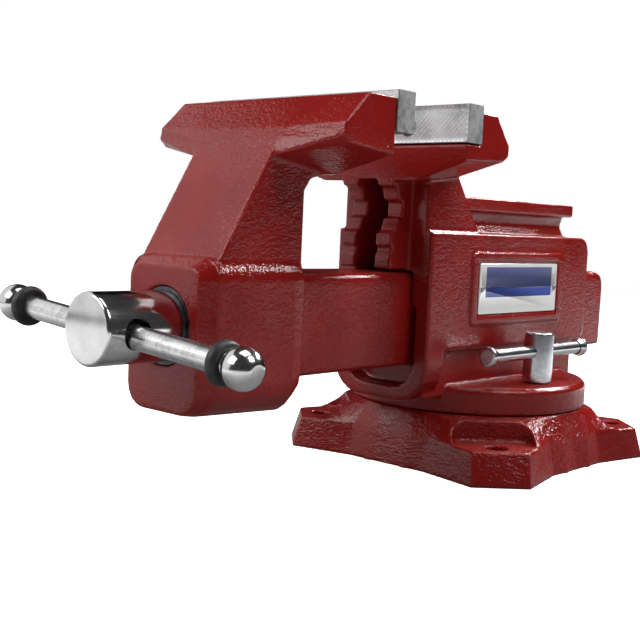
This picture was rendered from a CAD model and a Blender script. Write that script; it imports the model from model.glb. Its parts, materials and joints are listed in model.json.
import json
from math import cos, pi, radians, sin

import bmesh
import bpy
from mathutils import Matrix, Vector


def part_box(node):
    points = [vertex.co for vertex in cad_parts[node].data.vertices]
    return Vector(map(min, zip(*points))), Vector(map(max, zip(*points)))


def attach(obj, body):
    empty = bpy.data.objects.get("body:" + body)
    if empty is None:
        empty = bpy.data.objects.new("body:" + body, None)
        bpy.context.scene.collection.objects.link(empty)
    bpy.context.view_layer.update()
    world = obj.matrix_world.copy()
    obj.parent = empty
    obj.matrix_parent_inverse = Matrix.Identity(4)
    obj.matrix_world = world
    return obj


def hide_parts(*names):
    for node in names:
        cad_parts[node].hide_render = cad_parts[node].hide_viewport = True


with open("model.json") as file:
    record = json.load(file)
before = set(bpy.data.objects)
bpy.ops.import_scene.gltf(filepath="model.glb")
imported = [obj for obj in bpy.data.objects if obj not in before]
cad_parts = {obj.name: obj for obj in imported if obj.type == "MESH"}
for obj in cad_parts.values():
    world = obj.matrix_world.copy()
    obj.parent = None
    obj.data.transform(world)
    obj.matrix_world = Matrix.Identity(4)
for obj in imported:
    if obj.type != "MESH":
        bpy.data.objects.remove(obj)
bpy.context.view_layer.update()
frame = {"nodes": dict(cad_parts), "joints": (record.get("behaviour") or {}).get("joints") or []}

# ---------------------------------------------------------------------------------------------
# Studio. The vise stands on a seamless pale sweep that curves up behind it. A broad soft box
# stands to the left of the handle and lamps hang in front, above and to the right. A narrow
# strip behind and above draws the bright line along the upper edges.
# ---------------------------------------------------------------------------------------------

MM = 0.001
SWEEP_FRONT = -3.0
SWEEP_BEND = 2.6
SWEEP_RADIUS = 1.2
SWEEP_HEIGHT = 3.5
SWEEP_HALF_WIDTH = 6.0
SWEEP_GLOW = 0.90
SWEEP_WHITE = (0.90, 0.90, 0.90, 1)
DIM_FLOOR = (0.22, 0.22, 0.22, 1)
BRIGHT_FLOOR = (0.95, 0.95, 0.95, 1)
DARK_FLOOR = (0.03, 0.03, 0.03, 1)
BRIGHT_FROM = (0.4, 0.75)
DARK_FROM = (1.5, 1.95)
ROOM_GLOW = 0.04
VIEW_YAW = radians(42.09)
VIEW_PITCH = radians(5.16)
VIEW_ROLL = radians(2.56)
VIEW_PLACE = Vector((0.4805, -0.7126, 0.1742))
VIEW_LENS = 59.86


def node(tree, kind, inputs=None, **settings):
    """Adds a shader node. Each input is a value or another node's output."""
    made = tree.nodes.new("ShaderNode" + kind)
    for key, value in settings.items():
        setattr(made, key, value)
    for socket, value in (inputs or {}).items():
        if isinstance(value, bpy.types.NodeSocket):
            tree.links.new(value, made.inputs[socket])
        else:
            made.inputs[socket].default_value = value
    return made


def blank_material(name, finish):
    """A material whose Principled shader has the given fixed values. Returns it, its tree and its shader."""
    material = bpy.data.materials.new(name)
    material.use_nodes = True
    tree = material.node_tree
    shader = tree.nodes["Principled BSDF"]
    for socket, value in finish.items():
        shader.inputs[socket].default_value = value
    return material, tree, shader


def link_mesh(name, bm, materials, smooth=35):
    """Turns a bmesh into a linked object. Edges sharper than smooth degrees stay crisp."""
    bmesh.ops.recalc_face_normals(bm, faces=bm.faces)
    mesh = bpy.data.meshes.new(name)
    bm.to_mesh(mesh)
    bm.free()
    mesh.shade_smooth()
    mesh.set_sharp_from_angle(angle=radians(smooth))
    for material in materials:
        mesh.materials.append(material)
    piece = bpy.data.objects.new(name, mesh)
    bpy.context.scene.collection.objects.link(piece)
    return piece


def make_sweep():
    """One sheet: flat floor, a quarter bend, then an upright back, square to the camera.

    The camera sees plain white paper. The light it gives the vise comes from a bright ring of
    floor, with a dim patch round the vise and darkness beyond.
    """
    profile = [(SWEEP_FRONT, 0.0)]
    for step in range(13):
        turn = pi / 2 * step / 12
        profile.append((SWEEP_BEND + SWEEP_RADIUS * sin(turn), SWEEP_RADIUS * (1 - cos(turn))))
    profile.append((SWEEP_BEND + SWEEP_RADIUS, SWEEP_HEIGHT))
    bm = bmesh.new()
    rows = [[bm.verts.new((x, y, z)) for x in (-SWEEP_HALF_WIDTH, SWEEP_HALF_WIDTH)] for y, z in profile]
    for low, high in zip(rows, rows[1:]):
        bm.faces.new((low[0], low[1], high[1], high[0]))
    paper, tree, shader = blank_material("sweep_paper", {"Roughness": 0.9, "Emission Color": (1, 1, 1, 1)})
    place = node(tree, "TexCoord").outputs["Object"]
    reach = node(tree, "VectorMath", {0: place}, operation="LENGTH").outputs["Value"]
    near = {"Value": reach, "From Min": BRIGHT_FROM[0], "From Max": BRIGHT_FROM[1]}
    far = {"Value": reach, "From Min": DARK_FROM[0], "From Max": DARK_FROM[1]}
    lit = {0: node(tree, "MapRange", near).outputs[0], 6: DIM_FLOOR, 7: BRIGHT_FLOOR}
    ring = node(tree, "Mix", lit, data_type="RGBA").outputs[2]
    unlit = {0: node(tree, "MapRange", far).outputs[0], 6: ring, 7: DARK_FLOOR}
    bounce = node(tree, "Mix", unlit, data_type="RGBA")
    seen = node(tree, "LightPath").outputs["Is Camera Ray"]
    tone = node(tree, "Mix", {0: seen, 6: bounce.outputs[2], 7: SWEEP_WHITE}, data_type="RGBA")
    glow = node(tree, "Math", {0: seen, 1: SWEEP_GLOW}, operation="MULTIPLY").outputs[0]
    tree.links.new(tone.outputs[2], shader.inputs["Base Color"])
    tree.links.new(glow, shader.inputs["Emission Strength"])
    sweep = link_mesh("studio_sweep", bm, [paper])
    sweep.rotation_euler.z = VIEW_YAW
    return sweep


def soft_box(name, place, aim, width, height, watts):
    """A rectangular lamp at place, turned to aim."""
    light = bpy.data.lights.new(name, "AREA")
    light.shape = "RECTANGLE"
    light.size = width
    light.size_y = height
    light.energy = watts
    lamp = bpy.data.objects.new(name, light)
    lamp.location = place
    lamp.rotation_euler = (Vector(aim) - Vector(place)).to_track_quat("-Z", "Y").to_euler()
    bpy.context.scene.collection.objects.link(lamp)


def hang_camera():
    """The camera, turned by its yaw, its pitch and a slight roll."""
    ahead = Vector((-sin(VIEW_YAW) * cos(VIEW_PITCH), cos(VIEW_YAW) * cos(VIEW_PITCH), -sin(VIEW_PITCH)))
    level = ahead.cross(Vector((0, 0, 1))).normalized()
    upright = level.cross(ahead)
    right = cos(VIEW_ROLL) * level + sin(VIEW_ROLL) * upright
    up = cos(VIEW_ROLL) * upright - sin(VIEW_ROLL) * level
    turn = Matrix((right, up, -ahead)).transposed().to_4x4()
    lens = bpy.data.cameras.new("camera")
    lens.lens = VIEW_LENS
    camera = bpy.data.objects.new("camera", lens)
    camera.matrix_world = Matrix.Translation(VIEW_PLACE) @ turn
    bpy.context.scene.collection.objects.link(camera)
    bpy.context.scene.camera = camera


make_sweep()
soft_box("left_soft_box", (-1.05, -0.86, 0.68), (0, -0.3, 0.15), 2.1, 1.4, 8.5)
soft_box("front_lamp", (-0.6, -1.5, 1.2), (0, -0.1, 0.12), 1.1, 0.9, 12)
soft_box("top_soft_box", (0.1, -0.1, 1.9), (0, -0.1, 0.1), 1.0, 1.0, 12)
soft_box("right_lamp", (1.05, 0.0, 1.30), (0, -0.05, 0.1), 0.6, 0.6, 8)
soft_box("rear_strip", (0.22, 1.12, 1.10), (0, -0.15, 0.12), 0.9, 0.16, 30)
hang_camera()
room = bpy.data.worlds.new("room")
room.use_nodes = True
walls = room.node_tree.nodes["Background"]
past_sweep = node(room.node_tree, "LightPath").outputs["Is Camera Ray"]
strength = {0: past_sweep, 1: 1 - ROOM_GLOW, 2: ROOM_GLOW}
glow = node(room.node_tree, "Math", strength, operation="MULTIPLY_ADD").outputs[0]
walls.inputs["Color"].default_value = (1.0, 1.0, 1.0, 1)
room.node_tree.links.new(glow, walls.inputs["Strength"])
bpy.context.scene.world = room
bpy.context.scene.view_settings.view_transform = "Standard"

# ---------------------------------------------------------------------------------------------
# Swivel base. Grey iron, cast in sand with four bolt lugs, so that every corner is rounded and
# every inner corner has a fillet. It is dipped in glossy red enamel, which keeps the sand's grain.
# ---------------------------------------------------------------------------------------------

MOULD_STEP = 0.0012
MOULD_PASSES = 4
KEPT_FACES = 0.42
ENAMEL_DEEP = (0.222, 0.0076, 0.0064, 1)
ENAMEL_BRIGHT = (0.282, 0.0106, 0.0088, 1)
ENAMEL_RUBBED = (0.34, 0.035, 0.028, 1)
DUST_TONE = (0.42, 0.36, 0.33, 1)


def shader_group(name, inputs, outputs):
    """An empty shader node group. Returns it with its input and output sockets."""
    group = bpy.data.node_groups.new(name, "ShaderNodeTree")
    for label, kind, value in inputs:
        socket = group.interface.new_socket(label, in_out="INPUT", socket_type="NodeSocket" + kind)
        if value is not None:
            socket.default_value = value
    for label, kind in outputs:
        group.interface.new_socket(label, in_out="OUTPUT", socket_type="NodeSocket" + kind)
    return group, group.nodes.new("NodeGroupInput").outputs, group.nodes.new("NodeGroupOutput").inputs


def sum_of(tree, *pairs):
    """Adds up value * weight pairs."""
    total = 0.0
    for value, weight in pairs:
        part = {0: value, 1: weight, 2: total}
        total = node(tree, "Math", part, operation="MULTIPLY_ADD").outputs[0]
    return total


def make_sand_skin():
    """Sand-cast skin under paint: fine orange peel, coarser dimples, and areas where the peel fades."""
    inputs = [("Place", "Vector", None), ("Grain per metre", "Float", 430.0)]
    group, given, put = shader_group("sand_skin", inputs, [("Height", "Float"), ("Patches", "Float")])
    stretch = node(group, "Mapping", {"Vector": given["Place"], "Scale": (0.85, 0.85, 1.3)}).outputs[0]
    peel = node(group, "TexNoise", {"Vector": stretch, "Scale": given["Grain per metre"], "Detail": 2.5})
    half = node(group, "Math", {0: given["Grain per metre"], 1: 0.42}, operation="MULTIPLY").outputs[0]
    dimples = node(group, "TexVoronoi", {"Vector": stretch, "Scale": half}, feature="SMOOTH_F1")
    patches = node(group, "TexNoise", {"Vector": given["Place"], "Scale": 16.0, "Detail": 2.0})
    spread = node(
        group,
        "MapRange",
        {"Value": patches.outputs["Fac"], "From Min": 0.36, "From Max": 0.62, "To Min": 0.35, "To Max": 1.0},
    )
    rough = sum_of(group, (peel.outputs["Fac"], 0.75), (dimples.outputs["Distance"], 0.35))
    height = node(group, "Math", {0: rough, 1: spread.outputs[0]}, operation="MULTIPLY")
    group.links.new(height.outputs[0], put["Height"])
    group.links.new(spread.outputs[0], put["Patches"])
    return group


def make_edge_rub():
    """A mask of the outer edges, broken up as handling breaks them up."""
    inputs = [("Place", "Vector", None), ("Reach", "Float", 0.07)]
    group, given, put = shader_group("edge_rub", inputs, [("Mask", "Float")])
    bend = node(group, "NewGeometry").outputs["Pointiness"]
    above = node(group, "Math", {0: 0.5, 1: given["Reach"]}, operation="ADD").outputs[0]
    edge = node(group, "MapRange", {"Value": bend, "From Min": 0.51, "From Max": above}).outputs[0]
    breaks = node(group, "TexNoise", {"Vector": given["Place"], "Scale": 260.0, "Detail": 4.0})
    broken = node(
        group, "MapRange", {"Value": breaks.outputs["Fac"], "From Min": 0.38, "From Max": 0.62}
    ).outputs[0]
    mask = node(group, "Math", {0: edge, 1: broken}, operation="MULTIPLY").outputs[0]
    group.links.new(mask, put["Mask"])
    return group


def make_settled_dust():
    """Faint dust: on faces that look up, in cloudy patches."""
    group, given, put = shader_group("settled_dust", [("Place", "Vector", None)], [("Mask", "Float")])
    normal = node(group, "NewGeometry").outputs["Normal"]
    up = node(group, "SeparateXYZ", {0: normal}).outputs["Z"]
    facing = node(group, "MapRange", {"Value": up, "From Min": 0.75, "From Max": 1.0}).outputs[0]
    cloud = node(group, "TexNoise", {"Vector": given["Place"], "Scale": 45.0, "Detail": 6.0}).outputs["Fac"]
    mask = node(group, "Math", {0: facing, 1: cloud}, operation="MULTIPLY").outputs[0]
    group.links.new(mask, put["Mask"])
    return group


SAND_SKIN = make_sand_skin()
EDGE_RUB = make_edge_rub()
SETTLED_DUST = make_settled_dust()


def red_enamel(name, grain_per_metre, relief):
    """Glossy dark red enamel over sand-cast iron."""
    fixed = {"IOR": 1.5, "Specular IOR Level": 0.36}
    material, tree, shader = blank_material(name, fixed)
    place = node(tree, "TexCoord").outputs["Object"]
    inputs = {"Place": place, "Grain per metre": grain_per_metre}
    skin = node(tree, "Group", inputs, node_tree=SAND_SKIN).outputs
    rub = node(tree, "Group", {"Place": place, "Reach": 0.10}, node_tree=EDGE_RUB).outputs["Mask"]
    dust = node(tree, "Group", {"Place": place}, node_tree=SETTLED_DUST).outputs["Mask"]
    cloud = node(tree, "TexNoise", {"Vector": place, "Scale": 28.0, "Detail": 4.0}).outputs["Fac"]
    tone = node(tree, "ValToRGB", {"Fac": cloud})
    tone.color_ramp.elements[0].position = 0.30
    tone.color_ramp.elements[0].color = ENAMEL_DEEP
    tone.color_ramp.elements[1].position = 0.68
    tone.color_ramp.elements[1].color = ENAMEL_BRIGHT
    thin = node(tree, "Math", {0: rub, 1: 0.30}, operation="MULTIPLY").outputs[0]
    rubbed = {0: thin, 6: tone.outputs["Color"], 7: ENAMEL_RUBBED}
    edged = node(tree, "Mix", rubbed, data_type="RGBA").outputs[2]
    veil = node(tree, "Math", {0: dust, 1: 0.07}, operation="MULTIPLY").outputs[0]
    dusty = node(tree, "Mix", {0: veil, 6: edged, 7: DUST_TONE}, data_type="RGBA").outputs[2]
    rough = sum_of(tree, (skin["Patches"], 0.07), (dust, 0.12), (1.0, 0.11))
    bump = node(tree, "Bump", {"Height": skin["Height"], "Strength": 1.0, "Distance": relief})
    tree.links.new(dusty, shader.inputs["Base Color"])
    tree.links.new(rough, shader.inputs["Roughness"])
    tree.links.new(bump.outputs["Normal"], shader.inputs["Normal"])
    return material


def settle(piece):
    """Applies the piece's modifiers to its mesh."""
    graph = bpy.context.evaluated_depsgraph_get()
    finished = bpy.data.meshes.new_from_object(piece.evaluated_get(graph))
    piece.modifiers.clear()
    piece.data = finished
    return piece


def cast(name, node_name, body, enamel):
    """The node's shape as it leaves the mould: outer corners rounded, inner corners filleted."""
    bm = bmesh.new()
    bm.from_mesh(frame["nodes"][node_name].data)
    bmesh.ops.remove_doubles(bm, verts=bm.verts, dist=0.01 * MM)
    piece = link_mesh(name, bm, [enamel])
    mould = piece.modifiers.new("mould", "REMESH")
    mould.mode = "VOXEL"
    mould.voxel_size = MOULD_STEP
    mould.use_smooth_shade = True
    rounding = piece.modifiers.new("rounding", "SMOOTH")
    rounding.iterations = MOULD_PASSES
    rounding.factor = 0.5
    thinning = piece.modifiers.new("thinning", "DECIMATE")
    thinning.ratio = KEPT_FACES
    settle(piece)
    piece.data.materials.clear()
    piece.data.materials.append(enamel)
    piece.data.shade_smooth()
    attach(piece, body)
    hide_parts(node_name)


base_enamel = red_enamel("base_enamel", grain_per_metre=460.0, relief=0.0014)
cast("base_iron", "base_casting", "base", base_enamel)

# ---------------------------------------------------------------------------------------------
# Body. One casting holds the fixed jaw, the pipe teeth, the slide tunnel, the anvil and the
# round foot that turns on the base. It is cast and dipped like the base.
# ---------------------------------------------------------------------------------------------

body_enamel = red_enamel("body_enamel", grain_per_metre=560.0, relief=0.0008)
cast("body_iron", "body_casting", "swivel_body", body_enamel)

# ---------------------------------------------------------------------------------------------
# Moving jaw. The jaw head, its leaning arm, the front block and the hollow slide bar are one
# casting, which slides through the body's tunnel.
# ---------------------------------------------------------------------------------------------

jaw_enamel = red_enamel("jaw_enamel", grain_per_metre=560.0, relief=0.0009)
cast("sliding_jaw_iron", "moving_jaw_casting", "moving_jaw", jaw_enamel)

# ---------------------------------------------------------------------------------------------
# Jaw inserts. Hardened steel bars, ground on the back and the edges, with a face of small
# four-sided teeth that are rolled in before hardening. Each has two counterbored screw holes.
# ---------------------------------------------------------------------------------------------

TOOTH_STEP = 1.7
TOOTH_DEPTH = 0.8
INSERT_CHAMFER = 0.5
COUNTERBORE_R = 5.6
SCREW_HOLE_R = 3.3
COUNTERBORE_DEPTH = 8.3
HOLE_START = -5.0
HOLE_END = 30.0
SCREWS_OF = {"swivel_body": "fixed", "moving_jaw": "moving"}


def make_fine_scratches():
    """Fine scratches along one direction, with a few deeper ones."""
    inputs = [("Place", "Vector", None), ("Stretch", "Vector", (1.0, 1.0, 1.0))]
    group, given, put = shader_group("fine_scratches", inputs, [("Height", "Float"), ("Mask", "Float")])
    scaled = {0: given["Place"], 1: given["Stretch"]}
    along = node(group, "VectorMath", scaled, operation="MULTIPLY").outputs[0]
    fine = node(group, "TexNoise", {"Vector": along, "Scale": 1000.0, "Detail": 3.0}).outputs["Fac"]
    coarse = node(group, "TexNoise", {"Vector": along, "Scale": 220.0, "Detail": 2.0}).outputs["Fac"]
    deep = node(group, "MapRange", {"Value": coarse, "From Min": 0.62, "From Max": 0.72}).outputs[0]
    group.links.new(sum_of(group, (fine, 0.7), (coarse, 0.3)), put["Height"])
    group.links.new(deep, put["Mask"])
    return group


FINE_SCRATCHES = make_fine_scratches()


def steel(name, dark, light, roughness, stretch=(1.0, 1.0, 1.0), relief=0.00002, spread=0.16):
    """Bare or plated metal: its tone, gloss and fine scratches all vary a little over the surface."""
    material, tree, shader = blank_material(name, {"Metallic": 1.0})
    place = node(tree, "TexCoord").outputs["Object"]
    lines = node(tree, "Group", {"Place": place, "Stretch": stretch}, node_tree=FINE_SCRATCHES).outputs
    rub = node(tree, "Group", {"Place": place}, node_tree=EDGE_RUB).outputs["Mask"]
    cloud = node(tree, "TexNoise", {"Vector": place, "Scale": 60.0, "Detail": 5.0}).outputs["Fac"]
    mixed = sum_of(tree, (cloud, 0.6), (lines["Height"], 0.4), (rub, 0.25))
    tone = node(tree, "ValToRGB", {"Fac": mixed})
    tone.color_ramp.elements[0].position = 0.34
    tone.color_ramp.elements[0].color = (*dark, 1)
    tone.color_ramp.elements[1].position = 0.66
    tone.color_ramp.elements[1].color = (*light, 1)
    rough = sum_of(tree, (cloud, spread), (lines["Height"], spread), (1.0, roughness - spread))
    bump = node(tree, "Bump", {"Height": lines["Height"], "Strength": 1.0, "Distance": relief})
    tree.links.new(tone.outputs["Color"], shader.inputs["Base Color"])
    tree.links.new(rough, shader.inputs["Roughness"])
    tree.links.new(bump.outputs["Normal"], shader.inputs["Normal"])
    return material


def bore(piece, bm):
    """Cuts a shape out of the piece."""
    tool = link_mesh(piece.name + "_tool", bm, [])
    step = piece.modifiers.new("bore", "BOOLEAN")
    step.object = tool
    step.solver = "EXACT"
    settle(piece)
    bpy.data.objects.remove(tool)


def lathe(profile, steps=64):
    """A closed shape turned about Z from (radius, height) points in millimetres."""
    bm = bmesh.new()
    rings = []
    for radius, height in profile:
        ring = []
        for k in range(steps):
            turn = 2 * pi * k / steps
            ring.append(bm.verts.new((radius * cos(turn) * MM, radius * sin(turn) * MM, height * MM)))
        rings.append(ring)
    for low, high in zip(rings, rings[1:]):
        for k in range(steps):
            bm.faces.new((low[k - 1], low[k], high[k], high[k - 1]))
    bm.faces.new(rings[0])
    bm.faces.new(rings[-1])
    return bm


def serrated_insert(name, node_name, body, facing):
    """A bar with a toothed face. facing is -1 where the face looks to the front, 1 to the rear."""
    low, high = (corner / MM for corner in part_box(node_name))
    face = low.y if facing < 0 else high.y
    back = high.y if facing < 0 else low.y
    across = round((high.x - low.x - 2 * INSERT_CHAMFER) / TOOTH_STEP)
    tall = round((high.z - low.z - 2 * INSERT_CHAMFER) / TOOTH_STEP)
    bm = bmesh.new()
    grid = []
    for i in range(across + 1):
        x = low.x + INSERT_CHAMFER + (high.x - low.x - 2 * INSERT_CHAMFER) * i / across
        column = []
        for k in range(tall + 1):
            z = low.z + INSERT_CHAMFER + (high.z - low.z - 2 * INSERT_CHAMFER) * k / tall
            inside = 0 < i < across and 0 < k < tall
            sunk = TOOTH_DEPTH if inside and (i + k) % 2 == 0 else 0.0
            column.append(bm.verts.new(Vector((x, face - facing * sunk, z)) * MM))
        grid.append(column)
    for i in range(across):
        for k in range(tall):
            bm.faces.new((grid[i][k], grid[i + 1][k], grid[i + 1][k + 1], grid[i][k + 1]))
    rim = [grid[i][0] for i in range(across)] + [grid[across][k] for k in range(tall)]
    rim += [grid[i][tall] for i in range(across, 0, -1)] + [grid[0][k] for k in range(tall, 0, -1)]
    middle = (low + high) / 2
    half = (high - low) / 2
    loops = [rim]
    spread = Vector((half.x / (half.x - INSERT_CHAMFER), 1, half.z / (half.z - INSERT_CHAMFER)))
    for depth in (INSERT_CHAMFER, high.y - low.y - INSERT_CHAMFER):
        loop = []
        for vert in rim:
            out = (vert.co / MM - middle) * spread + middle
            loop.append(bm.verts.new(Vector((out.x, face - facing * depth, out.z)) * MM))
        loops.append(loop)
    loops.append([bm.verts.new(Vector((vert.co.x / MM, back, vert.co.z / MM)) * MM) for vert in rim])
    for near, far in zip(loops, loops[1:]):
        for k in range(len(near)):
            bm.faces.new((near[k - 1], near[k], far[k], far[k - 1]))
    bm.faces.new(loops[-1])
    insert = link_mesh(name, bm, [INSERT_STEEL], smooth=20)
    for side in (1, -1):
        hand = "right" if side > 0 else "left"
        screw_low, screw_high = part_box(f"{SCREWS_OF[body]}_insert_screw_{hand}")
        centre = (screw_low + screw_high) / 2
        turn = Matrix.Rotation(radians(90) * facing, 4, "X")
        for radius, end in ((SCREW_HOLE_R, HOLE_END), (COUNTERBORE_R, COUNTERBORE_DEPTH)):
            hole = lathe([(radius, HOLE_START), (radius, end)], 32)
            hole.transform(Matrix.Translation((centre.x, face * MM, centre.z)) @ turn)
            bore(insert, hole)
    insert.data.shade_smooth()
    insert.data.set_sharp_from_angle(angle=radians(20))
    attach(insert, body)
    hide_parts(node_name)


INSERT_STEEL = steel(
    "insert_steel", (0.34, 0.34, 0.345), (0.66, 0.66, 0.67), 0.46, relief=0.00010, spread=0.2
)
serrated_insert("fixed_insert_bar", "fixed_jaw_insert", "swivel_body", -1)
serrated_insert("moving_insert_bar", "moving_jaw_insert", "moving_jaw", 1)

# ---------------------------------------------------------------------------------------------
# Insert screws, spindle nut and swivel fastenings. The screws and bolts are blackened steel,
# the nut is oiled bronze and the pins are ground steel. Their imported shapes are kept.
# ---------------------------------------------------------------------------------------------


def refinish(material, *node_names):
    """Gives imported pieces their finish."""
    for node_name in node_names:
        piece = frame["nodes"][node_name]
        piece.data.materials.clear()
        piece.data.materials.append(material)


BLACK_OXIDE = steel("black_oxide", (0.030, 0.030, 0.033), (0.10, 0.10, 0.105), 0.48)
GROUND_STEEL = steel("ground_steel", (0.26, 0.26, 0.27), (0.48, 0.48, 0.49), 0.34, stretch=(1.0, 1.0, 0.15))
OILED_BRONZE = steel("oiled_bronze", (0.24, 0.14, 0.045), (0.46, 0.30, 0.12), 0.38)
refinish(
    BLACK_OXIDE,
    "fixed_insert_screw_left",
    "fixed_insert_screw_right",
    "moving_insert_screw_left",
    "moving_insert_screw_right",
    "nut_bolt",
    "lock_nut_left",
    "lock_nut_right",
    "thrust_washer",
    "retaining_collar",
)
refinish(GROUND_STEEL, "swivel_pin", "collar_pin")
refinish(OILED_BRONZE, "spindle_nut")

# ---------------------------------------------------------------------------------------------
# Name plate. A stamped aluminium plate with a lacquered white ground and a plain blue panel,
# left blank. It lies in the body's raised frame and is held by two drive rivets.
# ---------------------------------------------------------------------------------------------

PLATE_CORNER = 1.2
PLATE_EDGE = 0.25
RIVET_HOLE_R = 1.3
RIVET_SHANK_R = 1.0
RIVET_HEAD_R = 2.1
RIVET_HEAD_RISE = 1.0
RIVET_SEAT = 0.30
PANEL_SIDE_MARGIN = 0.075
PANEL_TOP_MARGIN = 0.07
PANEL_BOTTOM_MARGIN = 0.33


def between(tree, value, low, high):
    """1 where value lies between low and high."""
    above = node(tree, "Math", {0: value, 1: low}, operation="GREATER_THAN").outputs[0]
    below = node(tree, "Math", {0: value, 1: high}, operation="LESS_THAN").outputs[0]
    return node(tree, "Math", {0: above, 1: below}, operation="MULTIPLY").outputs[0]


def plate_finish(low, high):
    """Lacquered aluminium, white with a blue panel, over fine lines along its length."""
    material, tree, shader = blank_material("plate_lacquer", {"Coat Roughness": 0.30})
    place = node(tree, "TexCoord").outputs["Object"]
    axes = node(tree, "SeparateXYZ", {0: place}).outputs
    length, height = high.y - low.y, high.z - low.z
    side = PANEL_SIDE_MARGIN * length
    wide = between(tree, axes["Y"], low.y + side, high.y - side)
    tall = between(
        tree, axes["Z"], low.z + PANEL_BOTTOM_MARGIN * height, high.z - PANEL_TOP_MARGIN * height
    )
    panel = node(tree, "Math", {0: wide, 1: tall}, operation="MULTIPLY").outputs[0]
    stretch = {"Place": place, "Stretch": (1.0, 0.12, 1.0)}
    lines = node(tree, "Group", stretch, node_tree=FINE_SCRATCHES).outputs
    ground = node(tree, "ValToRGB", {"Fac": lines["Height"]})
    ground.color_ramp.elements[0].color = (0.78, 0.79, 0.78, 1)
    ground.color_ramp.elements[1].color = (0.92, 0.92, 0.91, 1)
    ink = node(tree, "ValToRGB", {"Fac": lines["Height"]})
    ink.color_ramp.elements[0].color = (0.016, 0.042, 0.235, 1)
    ink.color_ramp.elements[1].color = (0.028, 0.062, 0.300, 1)
    inked = {0: panel, 6: ground.outputs["Color"], 7: ink.outputs["Color"]}
    printed = node(tree, "Mix", inked, data_type="RGBA").outputs[2]
    bare = node(tree, "Math", {0: panel, 1: -0.15, 2: 0.15}, operation="MULTIPLY_ADD").outputs[0]
    rough = sum_of(tree, (lines["Height"], 0.12), (panel, 0.06), (1.0, 0.30))
    bump = node(tree, "Bump", {"Height": lines["Height"], "Strength": 0.6, "Distance": 0.00001})
    tree.links.new(printed, shader.inputs["Base Color"])
    tree.links.new(bare, shader.inputs["Metallic"])
    tree.links.new(rough, shader.inputs["Roughness"])
    tree.links.new(bump.outputs["Normal"], shader.inputs["Normal"])
    shader.inputs["Coat Weight"].default_value = 0.2
    return material


def make_name_plate():
    """The plate with rounded corners and its two drive rivets."""
    low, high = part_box("name_plate")
    middle = (low + high) / 2
    bm = bmesh.new()
    rings = []
    for x, inset in ((low.x, 0.0), (high.x - PLATE_EDGE * MM, 0.0), (high.x, PLATE_EDGE)):
        ring = []
        radius = (PLATE_CORNER - inset / 2) * MM
        for quarter, (across, up) in enumerate(((1, 1), (-1, 1), (-1, -1), (1, -1))):
            corner_y = middle.y + across * ((high.y - low.y) / 2 - radius - inset * MM)
            corner_z = middle.z + up * ((high.z - low.z) / 2 - radius - inset * MM)
            for step in range(5):
                turn = pi / 2 * (quarter + step / 4)
                ring.append(bm.verts.new((x, corner_y + radius * cos(turn), corner_z + radius * sin(turn))))
        rings.append(ring)
    for near, far in zip(rings, rings[1:]):
        for k in range(len(near)):
            bm.faces.new((near[k - 1], near[k], far[k], far[k - 1]))
    bm.faces.new(rings[0])
    bm.faces.new(rings[-1])
    plate = link_mesh("blank_name_plate", bm, [plate_finish(low, high)])
    for end in ("front", "rear"):
        rivet_low, rivet_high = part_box(f"plate_rivet_{end}")
        centre = (rivet_low + rivet_high) / 2
        stand = Matrix.Translation((high.x, centre.y, centre.z)) @ Matrix.Rotation(pi / 2, 4, "Y")
        hole = lathe([(RIVET_HOLE_R, -3.0), (RIVET_HOLE_R, 3.0)], 24)
        hole.transform(stand)
        bore(plate, hole)
        shank = (rivet_low.x - high.x) / MM
        dome = [(RIVET_SHANK_R, shank), (RIVET_SHANK_R, RIVET_SEAT), (RIVET_HEAD_R, RIVET_SEAT)]
        for degrees_up in (15, 30, 45, 60, 75, 87):
            turn = radians(degrees_up)
            dome.append((RIVET_HEAD_R * cos(turn), RIVET_SEAT + RIVET_HEAD_RISE * sin(turn)))
        rivet = lathe(dome, 24)
        rivet.transform(stand)
        drive = link_mesh(f"drive_rivet_{end}", rivet, [GROUND_STEEL])
        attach(drive, "swivel_body")
        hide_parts(f"plate_rivet_{end}")
    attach(plate, "swivel_body")
    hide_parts("name_plate")


make_name_plate()

# ---------------------------------------------------------------------------------------------
# Spindle. A turned steel bar with a square-shouldered right-hand thread of 6.35 mm pitch, and a
# big round head that is polished and cross-drilled for the handle.
# ---------------------------------------------------------------------------------------------

HEAD_EDGE = 2.2
HANDLE_HOLE_R = 9.2
SHANK_R = 14.0
SHANK_END = -276.0
THREAD_PITCH = 6.35
THREAD_ROOT_R = 10.6
THREAD_CREST_R = 12.9
THREAD_LEAD_IN = 3.0
THREAD_STEPS = 48
POLISHED = steel(
    "polished_steel",
    (0.52, 0.52, 0.53),
    (0.74, 0.74, 0.75),
    0.13,
    stretch=(1.0, 1.0, 0.04),
    relief=0.0000045,
    spread=0.06,
)


def arc(centre_radius, centre_height, radius, start, end, steps=5):
    """Profile points of an arc, by angles in degrees from the radius direction towards +height."""
    points = []
    for step in range(steps + 1):
        turn = radians(start + (end - start) * step / steps)
        points.append((centre_radius + radius * cos(turn), centre_height + radius * sin(turn)))
    return points


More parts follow.
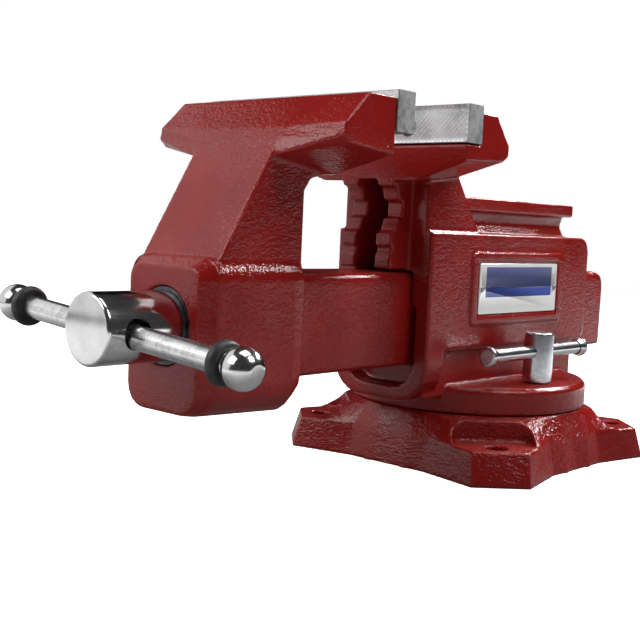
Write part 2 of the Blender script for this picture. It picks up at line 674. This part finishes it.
def thread_shape(crest, start, end):
    """A helical ridge on a core, from height start to end, as one closed skin."""
    bm = bmesh.new()
    turns = int((end - start) / THREAD_PITCH) + 3
    rows = []
    for turn in range(-1, turns):
        for share, radius in ((0.0, THREAD_ROOT_R), (0.42, THREAD_ROOT_R), (0.50, crest), (0.92, crest)):
            row = []
            for k in range(THREAD_STEPS + 1):
                height = start + THREAD_PITCH * (turn + share + k / THREAD_STEPS)
                tip = THREAD_ROOT_R - 1 + max(0.0, end - height)
                held = min(max(height, start), end)
                reach = min(radius, tip) if end - height < THREAD_LEAD_IN else radius
                angle = -2 * pi * k / THREAD_STEPS
                row.append(bm.verts.new((reach * cos(angle) * MM, reach * sin(angle) * MM, held * MM)))
            rows.append(row)
    for low, high in zip(rows, rows[1:]):
        for k in range(THREAD_STEPS):
            bm.faces.new((low[k], low[k + 1], high[k + 1], high[k]))
    bmesh.ops.remove_doubles(bm, verts=bm.verts, dist=0.02 * MM)
    bmesh.ops.holes_fill(bm, edges=[edge for edge in bm.edges if edge.is_boundary], sides=0)
    return bm


def make_spindle():
    """Head and shank turned in one, joined to the thread, then cross-drilled and eased."""
    low, high = (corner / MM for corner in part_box("spindle_screw"))
    axis_x, axis_z = (low.x + high.x) / 2, (low.z + high.z) / 2
    head_r = (high.x - low.x) / 2
    handle_low, handle_high = (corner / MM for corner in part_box("handle_bar"))
    handle_y = (handle_low.y + handle_high.y) / 2
    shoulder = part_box("thrust_washer")[0].y / MM - 0.3
    # Heights run along +Y from the head's face.
    profile = [(0.2, low.y), (head_r - HEAD_EDGE, low.y)]
    profile += arc(head_r - HEAD_EDGE, low.y + HEAD_EDGE, HEAD_EDGE, -90, 0)
    profile += arc(head_r - 0.6, shoulder - 0.6, 0.6, 0, 90, 3)
    profile += [(SHANK_R, shoulder), (SHANK_R, SHANK_END), (THREAD_ROOT_R - 2, SHANK_END)]
    lay = Matrix.Translation((axis_x * MM, 0, axis_z * MM)) @ Matrix.Rotation(-pi / 2, 4, "X")
    spindle = link_mesh("polished_spindle", lathe(profile, 96), [POLISHED], smooth=30)
    thread = link_mesh("thread", thread_shape(THREAD_CREST_R, SHANK_END - 2, high.y), [])
    join = spindle.modifiers.new("forging", "BOOLEAN")
    join.operation = "UNION"
    join.solver = "EXACT"
    join.object = thread
    settle(spindle)
    bpy.data.objects.remove(thread)
    axis = Vector(next(j["axis"] for j in frame["joints"] if j["name"] == "handle_slide"))
    across = Vector((axis.x, 0, axis.z)).to_track_quat("Z", "Y").to_matrix().to_4x4()
    hole = lathe([(HANDLE_HOLE_R, -40), (HANDLE_HOLE_R, 40)], 64)
    hole.transform(lay.inverted() @ Matrix.Translation((axis_x * MM, handle_y * MM, axis_z * MM)) @ across)
    bore(spindle, hole)
    ease = spindle.modifiers.new("ease", "BEVEL")
    ease.width = 0.5 * MM
    ease.segments = 2
    ease.limit_method = "ANGLE"
    ease.angle_limit = radians(50)
    settle(spindle)
    spindle.data.shade_smooth()
    spindle.data.set_sharp_from_angle(angle=radians(30))
    spindle.matrix_world = lay
    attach(spindle, "spindle")
    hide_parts("spindle_screw")


make_spindle()

# ---------------------------------------------------------------------------------------------
# Handle. A drawn steel bar that slides through the head, with a turned ball pressed on each end
# and a black rubber ring in front of each ball to soften its drop.
# ---------------------------------------------------------------------------------------------

STUB_R = 4.0
STUB_LENGTH = 5.4
BAR_CHAMFER = 0.6
BALL_PAST_BAR = 4.0
BALL_FROM = -52
BALL_TO = 66
BALL_STEPS = 18
RING_MIDDLE = 88.5
RING_WIDTH = 7.0
RING_SWELL = 2.6
RING_FIT = 0.15
DRAWN_STEEL = steel(
    "drawn_steel", (0.40, 0.40, 0.41), (0.66, 0.66, 0.67), 0.26, stretch=(1.0, 1.0, 0.05), relief=0.00002
)
BALL_STEEL = steel(
    "turned_ball", (0.48, 0.48, 0.49), (0.72, 0.72, 0.73), 0.16, stretch=(0.3, 0.3, 1.6), relief=0.000008
)


def rubber():
    """Black rubber with a fine moulded skin and a grey bloom in places."""
    material, tree, shader = blank_material("ring_rubber", {"IOR": 1.5})
    place = node(tree, "TexCoord").outputs["Object"]
    skin = node(tree, "TexNoise", {"Vector": place, "Scale": 1400.0, "Detail": 4.0}).outputs["Fac"]
    bloom = node(tree, "TexNoise", {"Vector": place, "Scale": 120.0, "Detail": 5.0}).outputs["Fac"]
    dust = node(tree, "Group", {"Place": place}, node_tree=SETTLED_DUST).outputs["Mask"]
    tone = node(tree, "ValToRGB", {"Fac": sum_of(tree, (bloom, 1.0), (dust, 0.25))})
    tone.color_ramp.elements[0].position = 0.35
    tone.color_ramp.elements[0].color = (0.008, 0.008, 0.009, 1)
    tone.color_ramp.elements[1].position = 0.8
    tone.color_ramp.elements[1].color = (0.030, 0.030, 0.032, 1)
    rough = sum_of(tree, (bloom, 0.2), (1.0, 0.38))
    bump = node(tree, "Bump", {"Height": skin, "Strength": 1.0, "Distance": 0.00003})
    tree.links.new(tone.outputs["Color"], shader.inputs["Base Color"])
    tree.links.new(rough, shader.inputs["Roughness"])
    tree.links.new(bump.outputs["Normal"], shader.inputs["Normal"])
    return material


RING_RUBBER = rubber()


def place_turned(name, profile, where, material, body, node_name, steps=64, smooth=30):
    """Lathes a piece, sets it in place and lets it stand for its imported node."""
    piece = link_mesh(name, lathe(profile, steps), [material], smooth)
    piece.matrix_world = where
    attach(piece, body)
    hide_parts(node_name)
    return piece


def make_handle():
    """The bar, which has a stub at each end, and a ball and a ring for each stub."""
    axis = Vector(next(j["axis"] for j in frame["joints"] if j["name"] == "handle_slide"))
    low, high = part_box("handle_bar")
    centre = (low + high) / 2
    across = axis.to_track_quat("Z", "Y").to_matrix().to_4x4()
    where = Matrix.Translation(centre) @ across
    bar_r = (high.y - low.y) / 2 / MM
    # The box of a tilted bar is its length and radius, each turned by the tilt.
    stub = ((high.x - low.x) / 2 / MM - STUB_R * abs(axis.z)) / axis.x
    neck = stub - STUB_LENGTH
    profile = [(STUB_R - 0.5, -stub), (STUB_R, -stub + 0.5), (STUB_R, -neck)]
    profile += [(bar_r - BAR_CHAMFER, -neck), (bar_r, -neck + BAR_CHAMFER)]
    profile += [(radius, -height) for radius, height in reversed(profile)]
    place_turned("drawn_bar", profile, where, DRAWN_STEEL, "handle", "handle_bar")
    for side, end in ((-1, "left"), (1, "right")):
        ball_node = f"handle_ball_{end}"
        ball_low, ball_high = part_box(ball_node)
        ball_r = (ball_high.y - ball_low.y) / 2 / MM
        middle = stub + BALL_PAST_BAR
        outer = []
        for step in range(BALL_STEPS + 1):
            turn = radians(BALL_FROM + (BALL_TO - BALL_FROM) * step / BALL_STEPS)
            outer.append((ball_r * cos(turn), side * (middle + ball_r * sin(turn))))
        seat = side * (stub + 0.4)
        tip = outer[-1][1] + side * 0.1
        ball = [(0.4, seat), (STUB_R + 0.3, seat), (STUB_R + 0.3, outer[0][1])]
        ball += outer + [(outer[-1][0] - 0.9, tip), (0.4, tip)]
        place_turned(f"turned_ball_{end}", ball, where, BALL_STEEL, "handle", ball_node)
        ring_node = f"handle_bumper_{end}"
        ring_low, ring_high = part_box(ring_node)
        ring_r = (ring_high.y - ring_low.y) / 2 / MM
        ring_middle = side * RING_MIDDLE
        half = RING_WIDTH / 2
        swell = [
            (ring_r - RING_SWELL + RING_SWELL * cos(radians(a)), ring_middle + half * sin(radians(a)))
            for a in range(-90, 91, 15)
        ]
        bore_r = bar_r + RING_FIT
        ring = [(bore_r, ring_middle - half)] + swell + [(bore_r, ring_middle + half)]
        place_turned(f"rubber_ring_{end}", ring, where, RING_RUBBER, "handle", ring_node)


make_handle()

# ---------------------------------------------------------------------------------------------
# Swivel locks. Each is a zinc-plated post, screwed down through the body's foot into a nut in
# the base's T-slot. A thin bar slides through it, with a flared cap swaged on each end.
# ---------------------------------------------------------------------------------------------

ZINC_PLATE = steel("zinc_plate", (0.46, 0.47, 0.49), (0.70, 0.71, 0.73), 0.22, relief=0.000012, spread=0.1)
POST_DOME = 1.6
FOOT_TOP = 61.8
LOCK_SHANK_R = 7.0
SHANK_CORE_R = 6.0
BAR_CLEARANCE = 0.5


def make_lock(side):
    """One lock: the post with its cross hole, the thin bar and the bar's two caps."""
    screw_low, screw_high = (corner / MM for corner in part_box(f"lock_screw_{side}"))
    bar_low, bar_high = (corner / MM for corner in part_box(f"lock_bar_{side}"))
    x = (screw_low.x + screw_high.x) / 2
    y = (screw_low.y + screw_high.y) / 2
    post_r = (screw_high.x - screw_low.x) / 2
    bar_z = (bar_low.z + bar_high.z) / 2
    bar_r = (bar_high.x - bar_low.x) / 2
    profile = [(SHANK_CORE_R, screw_low.z), (LOCK_SHANK_R, screw_low.z + 1), (LOCK_SHANK_R, FOOT_TOP)]
    profile += [(post_r - 0.8, FOOT_TOP), (post_r, FOOT_TOP + 0.8)]
    profile += arc(post_r - POST_DOME, screw_high.z - POST_DOME, POST_DOME, 0, 75, 5)
    profile += [(post_r * 0.5, screw_high.z - 0.05), (0.3, screw_high.z)]
    stand = Matrix.Translation((x * MM, y * MM, 0))
    name = f"zinc_post_{side}"
    post = place_turned(name, profile, stand, ZINC_PLATE, f"lock_{side}", f"lock_screw_{side}")
    lay = Matrix.Rotation(-pi / 2, 4, "X")
    hole = lathe([(bar_r + BAR_CLEARANCE, -30), (bar_r + BAR_CLEARANCE, 30)], 40)
    hole.transform(Matrix.Translation((0, 0, bar_z * MM)) @ lay)
    bore(post, hole)
    post.data.shade_smooth()
    post.data.set_sharp_from_angle(angle=radians(30))
    where = Matrix.Translation((x * MM, 0, bar_z * MM)) @ lay
    shaft = [(bar_r, bar_low.y), (bar_r, bar_high.y)]
    body = f"lock_handle_{side}"
    place_turned(f"zinc_bar_{side}", shaft, where, ZINC_PLATE, body, f"lock_bar_{side}", 40)
    for end, inward in (("front", 1), ("rear", -1)):
        cap_low, cap_high = (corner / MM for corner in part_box(f"lock_cap_{side}_{end}"))
        cap_r = (cap_high.x - cap_low.x) / 2
        tip = cap_low.y if inward > 0 else cap_high.y
        root = cap_high.y if inward > 0 else cap_low.y
        # The outline runs from the domed end, over the flare and the throat, into the bore.
        cap = [(0.3, tip + inward * 0.15), (cap_r - 2.4, tip + inward * 0.1), (cap_r - 1.1, tip)]
        cap += [(cap_r - 0.3, tip + inward * 0.35), (cap_r, tip + inward * 1.1), (cap_r, tip + inward * 2.0)]
        cap += [(cap_r - 0.5, tip + inward * 2.9), (bar_r + 1.3, tip + inward * 4.2), (bar_r + 0.9, root)]
        cap += [(bar_r + 0.25, root), (bar_r + 0.25, tip + inward * 5.9), (0.3, tip + inward * 5.9)]
        name = f"zinc_cap_{side}_{end}"
        place_turned(name, cap, where, ZINC_PLATE, body, f"lock_cap_{side}_{end}", 48)


make_lock("left")
make_lock("right")
